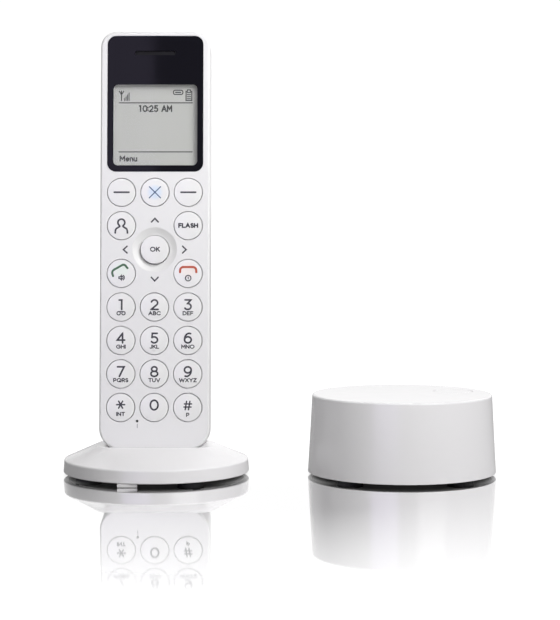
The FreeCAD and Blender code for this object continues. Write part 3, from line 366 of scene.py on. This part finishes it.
# the tint's colour, its reach, and how far its middle is above the key's, in millimetres
GLOWS = {
    "key_cancel": ((0.70, 0.79, 0.92), 3.9, 0.0),
    "key_talk": ((0.82, 0.87, 0.83), 4.2, 1.6),
    "key_end": ((0.9, 0.82, 0.80), 4.4, 1.6),
}
for key, (glow, reach, raised) in GLOWS.items():
    centre = handset_point(*middle(key)) + UP * raised * MM
    cap = tinted_key(key + "_cap", TINTED_KEY_WHITE, glow, centre, reach * MM)
    frame["nodes"][key].data.materials[0] = cap


# ---------------------------------------------------------------- printed marks

FILM = 0.012 * MM
PROUD = 0.022 * MM
LINE_STEP = 0.5
CAP_ANGLES = (84, 60, 32)
PROBE_FROM = 4 * MM
PROBE_LONG = 9 * MM


def arc(x, y, across, up, start, end, steps=16):
    turns = [math.radians(start + (end - start) * i / steps) for i in range(steps + 1)]
    return [(x + across * math.cos(t), y + up * math.sin(t)) for t in turns]


def refined(points):
    out = [points[0]]
    for (x0, y0), (x1, y1) in zip(points, points[1:]):
        parts = max(1, math.ceil(math.dist((x0, y0), (x1, y1)) / LINE_STEP))
        out += [(x0 + (x1 - x0) * i / parts, y0 + (y1 - y0) * i / parts) for i in range(1, parts + 1)]
    return out


def stations(points, width, closed):
    """Points along a line, each with the half-width vector to its left side."""
    half = width / 2
    spots = [Vector(p) for p in points]
    if closed:
        spots = spots[:-1]
    count = len(spots)
    found = []
    for i, spot in enumerate(spots):
        before = spots[i - 1] if closed or i > 0 else None
        after = spots[(i + 1) % count] if closed or i < count - 1 else None
        way_in = (spot - before).normalized() if before else (after - spot).normalized()
        way_out = (after - spot).normalized() if after else way_in
        left_in = Vector((-way_in.y, way_in.x))
        left = (left_in + Vector((-way_out.y, way_out.x))).normalized()
        found.append((spot, left * half * min(2.0, 1 / max(left.dot(left_in), 0.3))))
    if not closed:
        caps = [math.radians(a) for a in CAP_ANGLES]
        first, side = found[0]
        back = Vector((-side.y, side.x))
        head = [(first + back * math.sin(a), side * math.cos(a)) for a in caps]
        last, side = found[-1]
        on = Vector((side.y, -side.x))
        tail = [(last + on * math.sin(a), side * math.cos(a)) for a in reversed(caps)]
        found = head + found + tail
    return found


def draw_line(bm, points, width):
    """A flat closed ribbon along the points, in millimetres."""
    closed = math.dist(points[0], points[-1]) < 1e-6
    rows = []
    for spot, side in stations(refined(points), width, closed):
        corners = []
        for z in (1, -1):
            for way in (1, -1):
                edge = spot + side * way
                corners.append(bm.verts.new((edge.x * MM, edge.y * MM, z * FILM)))
        rows.append(corners)
    pairs = list(zip(rows, rows[1:]))
    if closed:
        pairs.append((rows[-1], rows[0]))
    for a, b in pairs:
        for i, j in ((0, 1), (3, 2), (2, 0), (1, 3)):
            bm.faces.new((a[i], b[i], b[j], a[j]))
    if not closed:
        bm.faces.new((rows[0][0], rows[0][1], rows[0][3], rows[0][2]))
        bm.faces.new((rows[-1][0], rows[-1][2], rows[-1][3], rows[-1][1]))


def mark(name, body, on, centre, material, lines):
    """Prints lines round a centre on a CAD node's front surface."""
    bm = bmesh.new()
    for points, width in lines:
        draw_line(bm, points, width)
    bmesh.ops.remove_doubles(bm, verts=bm.verts, dist=1e-7)
    bmesh.ops.recalc_face_normals(bm, faces=bm.faces)
    tree = on if isinstance(on, BVHTree) else surface(on)
    for v in bm.verts:
        above = handset_point(centre.x + v.co.x, centre.y + v.co.y, centre.z + PROBE_FROM)
        hit = tree.ray_cast(above, -OUT, PROBE_LONG)[0]
        level = hit.dot(OUT) if hit else centre.z
        v.co = handset_point(centre.x + v.co.x, centre.y + v.co.y, level + PROUD + v.co.z)
    mesh = bpy.data.meshes.new(name)
    bm.to_mesh(mesh)
    bm.free()
    mesh.materials.append(material)
    piece = bpy.data.objects.new(name, mesh)
    bpy.context.scene.collection.objects.link(piece)
    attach(piece, body)


ink = printed("dark_ink", INK)
blue_ink = printed("blue_ink", (0.05, 0.105, 0.22))
green_ink = printed("green_ink", (0.028, 0.10, 0.042))
orange_ink = printed("orange_ink", (0.45, 0.065, 0.018))
pale_ink = printed("pale_ink", (0.36, 0.355, 0.37))
lcd_ink = printed("crystal_ink", (0.04, 0.041, 0.039), 0.5)


def placed(lines, x, y, scale, width):
    """Glyph lines drawn one unit high, moved and scaled to millimetres."""
    return [([(x + px * scale, y + (py - 0.5) * scale) for px, py in line], width) for line in lines]


six = [arc(0, 0.32, 0.35, 0.32, 0, 360, 28), arc(0.13, 0.36, 0.48, 0.64, 190, 72, 14)]
DIGITS = {
    "0": [arc(0, 0.5, 0.4, 0.5, 0, 360, 32)],
    "1": [[(-0.2, 0.99), (0.07, 0.99), (0.07, 0)]],
    "2": [arc(-0.01, 0.69, 0.33, 0.31, 160, -38, 16) + [(-0.35, 0), (0.37, 0)]],
    "3": [[(-0.3, 1), (0.3, 1), (-0.04, 0.62)] + arc(-0.03, 0.31, 0.35, 0.31, 82, -145, 18)],
    "4": [[(0.17, 0), (0.17, 1), (-0.39, 0.29), (0.38, 0.29)]],
    "5": [[(0.29, 1), (-0.22, 1), (-0.26, 0.57)] + arc(-0.02, 0.315, 0.34, 0.315, 128, -145, 18)],
    "6": six,
    "7": [[(-0.34, 1), (0.34, 1), (-0.14, 0)]],
    "8": [arc(0, 0.76, 0.28, 0.24, 0, 360, 24), arc(0, 0.27, 0.35, 0.27, 0, 360, 28)],
    "9": [[(-x, 1 - y) for x, y in line] for line in six],
}
STAR = [
    [(0.5 * math.cos(t), 0.5 + 0.5 * math.sin(t)), (-0.5 * math.cos(t), 0.5 - 0.5 * math.sin(t))]
    for t in (0, math.pi / 3, -math.pi / 3)
]
HASH = [
    [(-0.3, 0), (-0.14, 1)],
    [(0.1, 0), (0.26, 1)],
    [(-0.46, 0.32), (0.4, 0.32)],
    [(-0.4, 0.69), (0.46, 0.69)],
]
TAPE = [arc(x, 0.5, 0.38, 0.38, 0, 360, 16) for x in (-0.55, 0.55)] + [[(-0.55, 0.88), (0.55, 0.88)]]

# each letter: how far it reaches, and its lines, one unit high
loop = [(0, 0), (0, 1), (0.33, 1)] + arc(0.33, 0.7, 0.28, 0.3, 90, -90, 8) + [(0, 0.4)]
ROUND = arc(0.5, 0.5, 0.5, 0.5, 0, 360, 24)
LETTERS = {
    "A": (0.9, [[(0, 0), (0.45, 1), (0.9, 0)], [(0.17, 0.34), (0.73, 0.34)]]),
    "B": (
        0.62,
        [
            [(0, 0), (0, 1), (0.32, 1)] + arc(0.32, 0.76, 0.24, 0.24, 90, -90, 8) + [(0, 0.52)],
            [(0.3, 0.52)] + arc(0.34, 0.26, 0.28, 0.26, 90, -90, 8) + [(0, 0)],
        ],
    ),
    "C": (0.87, [arc(0.5, 0.5, 0.5, 0.5, 42, 318)]),
    "D": (0.8, [[(0, 0), (0, 1), (0.3, 1)] + arc(0.3, 0.5, 0.5, 0.5, 90, -90, 12) + [(0, 0)]]),
    "E": (0.58, [[(0.58, 1), (0, 1), (0, 0), (0.58, 0)], [(0, 0.52), (0.52, 0.52)]]),
    "F": (0.56, [[(0.56, 1), (0, 1), (0, 0)], [(0, 0.5), (0.5, 0.5)]]),
    "G": (0.93, [arc(0.5, 0.5, 0.5, 0.5, 42, 330) + [(0.93, 0.48), (0.56, 0.48)]]),
    "H": (0.72, [[(0, 0), (0, 1)], [(0.72, 0), (0.72, 1)], [(0, 0.52), (0.72, 0.52)]]),
    "I": (0.0, [[(0, 0), (0, 1)]]),
    "J": (0.45, [[(0.45, 1), (0.45, 0.28)] + arc(0.2, 0.26, 0.25, 0.26, 0, -140, 8)]),
    "K": (0.66, [[(0, 0), (0, 1)], [(0.62, 1), (0, 0.4)], [(0.22, 0.6), (0.68, 0)]]),
    "L": (0.52, [[(0, 1), (0, 0), (0.52, 0)]]),
    "M": (0.86, [[(0, 0), (0, 1), (0.43, 0.38), (0.86, 1), (0.86, 0)]]),
    "N": (0.74, [[(0, 0), (0, 1), (0.74, 0), (0.74, 1)]]),
    "O": (1.0, [ROUND]),
    "P": (0.61, [loop]),
    "Q": (1.0, [ROUND, [(0.6, 0.3), (0.95, -0.05)]]),
    "R": (0.62, [loop, [(0.33, 0.4), (0.62, 0)]]),
    "S": (
        0.56,
        [arc(0.29, 0.745, 0.25, 0.255, 35, 262, 12) + arc(0.29, 0.255, 0.27, 0.255, 82, -145, 12)],
    ),
    "T": (0.7, [[(0, 1), (0.7, 1)], [(0.35, 1), (0.35, 0)]]),
    "U": (0.7, [[(0, 1), (0, 0.35)] + arc(0.35, 0.35, 0.35, 0.35, 180, 360, 12) + [(0.7, 1)]]),
    "V": (0.86, [[(0, 1), (0.43, 0), (0.86, 1)]]),
    "W": (1.3, [[(0, 1), (0.33, 0), (0.65, 0.95), (0.97, 0), (1.3, 1)]]),
    "X": (0.74, [[(0, 0), (0.74, 1)], [(0, 1), (0.74, 0)]]),
    "Y": (0.78, [[(0, 1), (0.39, 0.45), (0.78, 1)], [(0.39, 0.45), (0.39, 0)]]),
    "Z": (0.64, [[(0, 1), (0.64, 1), (0, 0), (0.64, 0)]]),
    "e": (0.55, [[(0.03, 0.35), (0.55, 0.35)] + arc(0.29, 0.34, 0.27, 0.33, 8, 312, 12)]),
    "n": (0.5, [[(0, 0), (0, 0.68)], [(0, 0.4)] + arc(0.25, 0.42, 0.25, 0.26, 180, 0, 8) + [(0.5, 0)]]),
    "u": (
        0.5,
        [
            [(0, 0.68), (0, 0.26)] + arc(0.25, 0.26, 0.25, 0.26, 180, 360, 8) + [(0.5, 0.68)],
            [(0.5, 0.3), (0.5, 0)],
        ],
    ),
    ":": (0.0, [[(0, 0.18), (0, 0.22)], [(0, 0.66), (0, 0.7)]]),
    " ": (0.3, []),
}
DIGIT_HALF = 0.37
for digit, lines in DIGITS.items():
    LETTERS[digit] = (2 * DIGIT_HALF, [[(x + DIGIT_HALF, y) for x, y in line] for line in lines])
LETTER_GAP = 0.3
LETTER_STRETCH = 1.2


def word(text, x, y, height, width, line):
    """A word centred on x, y: height and width are over its outside, line is its stroke."""
    long = sum(LETTERS[letter][0] for letter in text) + LETTER_GAP * (len(text) - 1)
    tall = height - line
    wide = (width - line) / long if width else tall * LETTER_STRETCH
    out, reached = [], x - long * wide / 2
    for letter in text:
        advance, lines = LETTERS[letter]
        for points in lines:
            out.append(([(reached + px * wide, y - tall / 2 + py * tall) for px, py in points], line))
        reached += (advance + LETTER_GAP) * wide
    return out


DIGIT_TALL = 3.9
DIGIT_LINE = 0.72
LETTER_TALL = 1.7
LETTER_LINE = 0.39
LETTER_LEVEL = -2.55
GROUPS = {"2": "ABC", "3": "DEF", "4": "GHI", "5": "JKL", "6": "MNO", "7": "PQRS", "8": "TUV", "9": "WXYZ"}


def small_word(text, level=LETTER_LEVEL):
    return word(text, 0, level, LETTER_TALL, None, LETTER_LINE)


for digit, lines in DIGITS.items():
    level = 1.0 if digit == "0" else 0.95
    drawn = placed(lines, 0, level, DIGIT_TALL, DIGIT_LINE)
    if digit == "1":
        drawn += placed(TAPE, 0, LETTER_LEVEL, 1.8, 0.42)
    if digit in GROUPS:
        drawn += small_word(GROUPS[digit])
    key = "key_" + digit
    mark("legend_" + digit, key, key, middle(key), ink, drawn)

star = placed(STAR, 0, 1.15, 3.3, 0.6) + small_word("INT", -2.65)
mark("legend_star", "key_star", "key_star", middle("key_star"), ink, star)
hash_lines = placed(HASH, 0, 0.8, 3.4, 0.56) + small_word("P", -3.0)
mark("legend_hash", "key_hash", "key_hash", middle("key_hash"), ink, hash_lines)

for side in ("left", "right"):
    key = "key_soft_" + side
    mark("legend_soft_" + side, key, key, middle(key), ink, [([(-3.0, 0), (3.0, 0)], 0.7)])

CROSS = 2.3
cross = [([(-CROSS, CROSS), (CROSS, -CROSS)], 0.44), ([(-CROSS, -CROSS), (CROSS, CROSS)], 0.44)]
mark("legend_cancel", "key_cancel", "key_cancel", middle("key_cancel"), blue_ink, cross)

person = [(-2.55, -3.0), (-2.5, -2.2)] + arc(-1.2, -2.1, 1.25, 1.2, 175, 110, 6) + [(-0.72, -0.35)]
person += arc(-0.05, 1.25, 1.42, 1.42, 238, -58, 26)
person += [(0.62, -0.35)] + arc(1.1, -2.1, 1.25, 1.2, 70, 5, 6) + [(2.4, -2.2), (2.45, -3.0)]
mark("legend_contacts", "key_contacts", "key_contacts", middle("key_contacts"), ink, [(person, 0.7)])
flash = word("FLASH", 0, 0.05, 2.05, 8.2, 0.56)
mark("legend_flash", "key_flash", "key_flash", middle("key_flash"), ink, flash)
mark("legend_ok", "key_ok", "key_ok", middle("key_ok"), ink, word("OK", 0.1, 0.1, 2.05, 4.1, 0.44))

lifted = [(-3.35, -1.1)] + arc(-2.25, 0.2, 1.45, 1.5, 196, 122, 8)
lifted += arc(0.9, 2.3, 1.2, 1.25, 118, 25, 8) + [(2.55, 2.15)]
mark("legend_talk", "key_talk", "key_talk", middle("key_talk"), green_ink, [(lifted, 0.86)])
horn = [(-0.95, -1.45), (-0.45, -1.45), (0.1, -0.75), (0.1, -2.75), (-0.45, -2.1), (-0.95, -2.1)]
speaker = [
    (horn + [horn[0]], 0.44),
    (arc(0.15, -1.75, 0.62, 0.62, 60, -60, 8), 0.4),
    (arc(0.15, -1.75, 1.15, 1.15, 55, -55, 8), 0.4),
]
mark("legend_speaker", "key_talk", "key_talk", middle("key_talk"), ink, speaker)
hung = [(-3.3, 0.5)] + arc(-1.9, 1.3, 1.35, 1.3, 175, 92, 10)
hung += arc(1.95, 1.3, 1.35, 1.3, 88, 5, 10) + [(3.35, 0.5)]
mark("legend_end", "key_end", "key_end", middle("key_end"), orange_ink, [(hung, 0.9)])
power = [(arc(0.05, -1.95, 1.12, 1.12, 0, 360, 24), 0.46), ([(0.05, -1.5), (0.05, -2.3)], 0.4)]
mark("legend_power", "key_end", "key_end", middle("key_end"), ink, power)

ok = middle("key_ok")
face = surface("front_cover")
KEY_RISE = 0.45 * MM
face_level = spread("key_1")[1].z - KEY_RISE
centre = Vector((ok.x, ok.y, face_level))
CHEVRON_AWAY = 12.1
chevron = [(-1.4, -0.72), (0, 0.78), (1.4, -0.72)]
for name, turn in (("up", 0), ("left", 90), ("down", 180), ("right", 270)):
    spin = Matrix.Rotation(math.radians(turn), 2)
    points = [tuple(spin @ Vector((x, y + CHEVRON_AWAY))) for x, y in chevron]
    mark("chevron_" + name, "handset", face, centre, ink, [(points, 0.6)])

hole = middle("microphone")
centre = Vector((hole.x, hole.y, face_level))
mark("microphone_tick", "handset", face, centre, pale_ink, [([(0.1, -1.2), (0.1, -2.7)], 0.3)])

# ---------------------------------------------------------------- display contents

glass = surface("lcd_panel")
screen = Vector((window_centre.x, window_centre.y, panel_high.z))
LINE = 0.44
RULES = (9.5, -10.9)
RULE_HALF = 15.1
screen_lines = [([(-RULE_HALF, y), (RULE_HALF, y)], LINE) for y in RULES]
ICON_LOW = 10.5
MAST_X = -14.2
screen_lines += [
    ([(MAST_X, ICON_LOW), (MAST_X, 14.4)], LINE),
    ([(MAST_X - 0.9, 14.3), (MAST_X, 12.9), (MAST_X + 0.9, 14.3)], LINE),
]
for i, tall in enumerate((0.9, 1.6, 2.4, 3.2)):
    x = -12.9 + i * 0.62
    screen_lines.append(([(x, ICON_LOW), (x, ICON_LOW + tall)], 0.38))
tab = arc(8.0, 14.05, 0.7, 0.7, 180, 90, 4) + arc(10.5, 14.05, 0.7, 0.7, 90, 0, 4)
tab += arc(10.5, 13.7, 0.7, 0.7, 0, -90, 4) + arc(8.0, 13.7, 0.7, 0.7, -90, -180, 4)
screen_lines.append((tab + [tab[0]], LINE))
screen_lines.append(([(8.2, 13.87), (10.3, 13.87)], 0.5))
cell = [(12.5, ICON_LOW), (12.5, 14.3), (13.1, 14.3), (13.1, 14.9)]
cell += [(14.3, 14.9), (14.3, 14.3), (14.9, 14.3), (14.9, ICON_LOW)]
screen_lines.append((cell + [cell[0]], LINE))
screen_lines += [([(13.0, 11.2 + i * 0.85), (14.4, 11.2 + i * 0.85)], 0.42) for i in range(4)]
screen_lines += word("10:25 AM", -0.3, 7.1, 2.9, 14.2, 0.58) + word("Menu", -11.2, -13.7, 2.5, 7.3, 0.52)
mark("screen_marks", "handset", glass, screen, lcd_ink, screen_lines)

# ---------------------------------------------------------------- small solid details


def solid(name, body, slot, bm):
    bmesh.ops.recalc_face_normals(bm, faces=bm.faces)
    mesh = bpy.data.meshes.new(name)
    bm.to_mesh(mesh)
    bm.free()
    for polygon in mesh.polygons:
        polygon.use_smooth = True
    mesh.materials.append(FINISHES[slot])
    piece = bpy.data.objects.new(name, mesh)
    bpy.context.scene.collection.objects.link(piece)
    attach(piece, body)


def join_rows(bm, rows):
    """Skin between rings of corners that all go round the same way."""
    for a, b in zip(rows, rows[1:]):
        for k in range(len(a)):
            following = (k + 1) % len(a)
            bm.faces.new((a[k], a[following], b[following], b[k]))


def finding_nib():
    """The raised dot under the 5."""
    key = middle("key_5")
    radius, height, sunk = 0.42 * MM, 0.2 * MM, 0.03 * MM
    rings, sides = 5, 20
    nib_y = key.y - 4.1 * MM
    bm = bmesh.new()
    spot = handset_point(key.x, nib_y, key.z + PROBE_FROM)
    level = surface("key_5").ray_cast(spot, -OUT, PROBE_LONG)[0].dot(OUT) - sunk
    rows = []
    for i in range(rings):
        a = math.pi / 2 * i / rings
        across, high = radius * math.cos(a), height * math.sin(a)
        row = []
        for k in range(sides):
            t = 2 * math.pi * k / sides
            x, y = key.x + across * math.cos(t), nib_y + across * math.sin(t)
            row.append(bm.verts.new(handset_point(x, y, level + high)))
        rows.append(row)
    tip = bm.verts.new(handset_point(key.x, nib_y, level + height))
    join_rows(bm, rows)
    for k in range(sides):
        bm.faces.new((rows[-1][k], rows[-1][(k + 1) % sides], tip))
    bm.faces.new(rows[0])
    solid("nib_5", "key_5", "key_white", bm)


finding_nib()


def socket_wires():
    """Sprung gold wires slanting through the line socket."""
    low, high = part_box("line_jack")
    middle_x = (low.x + high.x) / 2
    top = low.z + (high.z - low.z) * 0.72
    half, pitch = 0.22 * MM, 1.27 * MM
    corners = ((-half, -half), (half, -half), (half, half), (-half, half))
    route = [(0.9 * MM, 0), (2.2 * MM, 0.2 * MM), (7.5 * MM, 2.6 * MM)]
    for i in range(4):
        x = middle_x + (i - 1.5) * pitch
        bm = bmesh.new()
        rows = []
        for deep, drop in route:
            rows.append([bm.verts.new((x + a, high.y - deep, top - drop + b)) for a, b in corners])
        join_rows(bm, rows)
        bm.faces.new(rows[0])
        bm.faces.new(rows[-1])
        solid(f"socket_wire_{i + 1}", "station", "pin_gold", bm)


socket_wires()

# ---------------------------------------------------------------- floor, light and camera


MIRROR_NEAR = 1.0
MIRROR_FAR = 0.34
FLOOR_HALF = 6.0
FLOOR_GLOW = 0.94
FLOOR_BOUNCE = 0.11


def lit_floor():
    """A polished white table top whose mirror image fades out in front of the object, with a painted contact
    shadow dimming its glow close to the object.
    """
    material, tree = blank("white_table")
    path = add(tree, "LightPath").outputs["Is Camera Ray"]
    tone = mixed(tree, grain(tree, 4.0), (0.298, 0.298, 0.3, 1), (0.302, 0.302, 0.302, 1))
    matte = add(tree, "BsdfDiffuse", {"Color": tone}).outputs["BSDF"]
    strength = ramp(tree, path, FLOOR_BOUNCE, FLOOR_GLOW, 0.0, 1.0)
    # painted contact shadow: the floor's own glow is dimmed where the object stands close above it
    painted_contact_shadow = add(tree, "AmbientOcclusion", {"Distance": 8 * MM}, samples=8).outputs["AO"]
    strength = combined(tree, "MULTIPLY", strength, ramp(tree, painted_contact_shadow, 0.0, 1.0, 0.05, 0.6))
    glow = {"Color": (1, 1, 1, 1), "Strength": strength}
    own = add(tree, "Emission", glow).outputs["Emission"]
    plain = add(tree, "AddShader", {0: matte, 1: own}).outputs["Shader"]
    mirror = add(tree, "BsdfGlossy", {"Color": (1, 1, 1, 1), "Roughness": 0.03}).outputs["BSDF"]
    place = add(tree, "TexCoord").outputs["Object"]
    away = add(tree, "VectorMath", {0: place}, operation="LENGTH").outputs["Value"]
    depth = add(tree, "SeparateXYZ", {"Vector": place}).outputs["Y"]
    fade = ramp(tree, away, MIRROR_NEAR, MIRROR_FAR, 0.09, 0.24)
    end = ramp(tree, away, 1.0, 0.0, 0.222, 0.25)
    front = ramp(tree, depth, 1.0, 0.0, -0.03, 0.06)
    share = combined(tree, "MULTIPLY", fade, end)
    share = combined(tree, "MULTIPLY", share, front)
    share = combined(tree, "MULTIPLY", share, path)
    finish_shader(tree, add(tree, "MixShader", {0: share, 1: plain, 2: mirror}).outputs["Shader"])
    return material


bm = bmesh.new()
corners = [bm.verts.new((x * FLOOR_HALF, y * FLOOR_HALF, 0)) for x, y in ((-1, -1), (1, -1), (1, 1), (-1, 1))]
bm.faces.new(corners)
mesh = bpy.data.meshes.new("table_top")
bm.to_mesh(mesh)
bm.free()
mesh.materials.append(lit_floor())
floor = bpy.data.objects.new("table_top", mesh)
bpy.context.scene.collection.objects.link(floor)

world = bpy.data.worlds.new("studio")
bpy.context.scene.world = world
world.use_nodes = True
tree = world.node_tree
tree.nodes.clear()
aim = add(tree, "TexCoord").outputs["Generated"]


def facing(direction, low, high, start, end):
    """Brightness that goes from low to high as the sky turns towards a direction."""
    return smooth_step(tree, dotted_with(tree, aim, direction), start, end, low, high)


def chosen(test, first, second):
    """Second where the test is 1, else first."""
    part = combined(tree, "MULTIPLY", test, second)
    other = combined(tree, "MULTIPLY", combined(tree, "SUBTRACT", 1.0, test), first)
    return combined(tree, "ADD", part, other)


path = add(tree, "LightPath")
from_side = facing((1, 0, 0), 0.05, 0.56, -1.0, 1.0)
from_back = facing((0, 1, 0), 0.0, 0.95, 0.1, 1.0)
from_above = facing((0, 0, 1), 0.0, 0.19, 0.1, 1.0)
soft = combined(tree, "ADD", combined(tree, "ADD", from_side, from_above), from_back)
mirrored = chosen(path.outputs["Is Glossy Ray"], soft, 1.0)
strength = chosen(path.outputs["Is Camera Ray"], mirrored, 1.05)
sky = add(tree, "Background", {"Color": (1, 1, 1, 1), "Strength": strength}).outputs["Background"]
output = add(tree, "OutputWorld")
tree.links.new(sky, output.inputs["Surface"])


def softbox(name, place, aim_at, side, radiance, colour=(1, 1, 1)):
    """A square lamp of a given radiance."""
    data = bpy.data.lights.new(name, "AREA")
    data.shape = "RECTANGLE"
    data.size, data.size_y = side, side
    data.energy = radiance * math.pi * side * side
    data.color = colour
    lamp = bpy.data.objects.new(name, data)
    lamp.location = place
    lamp.rotation_mode = "QUATERNION"
    lamp.rotation_quaternion = (Vector(aim_at) - Vector(place)).to_track_quat("-Z", "Y")
    lamp.visible_camera = False
    bpy.context.scene.collection.objects.link(lamp)
    return lamp


softbox("key_box", (0.58, -0.78, 0.62), (0, 0, 0.06), 0.7, 3.0)
near = softbox("near_box", (0.06, -0.18, 0.26), (-0.05, 0, 0.10), 0.14, 4.8)
near.visible_glossy = False
card = softbox("left_card", (-0.70, -1.45, 0.5), (-0.70, 0, 0.14), 1.1, 2.2, (1.0, 0.88, 1.3))
card.visible_diffuse = False

CAMERA_BACK = 0.7812
CAMERA_HIGH = 0.1177
CAMERA_DOWN = 3.608
CAMERA_LENS = 109.77
data = bpy.data.cameras.new("camera")
data.lens = CAMERA_LENS
data.sensor_width = 36.0
data.clip_start, data.clip_end = 0.01, 60.0
camera = bpy.data.objects.new("camera", data)
camera.location = (0.0001, -CAMERA_BACK, CAMERA_HIGH)
camera.rotation_euler = (math.radians(90 - CAMERA_DOWN), 0, 0)
bpy.context.scene.collection.objects.link(camera)
bpy.context.scene.camera = camera
bpy.context.scene.view_settings.view_transform = "Standard"
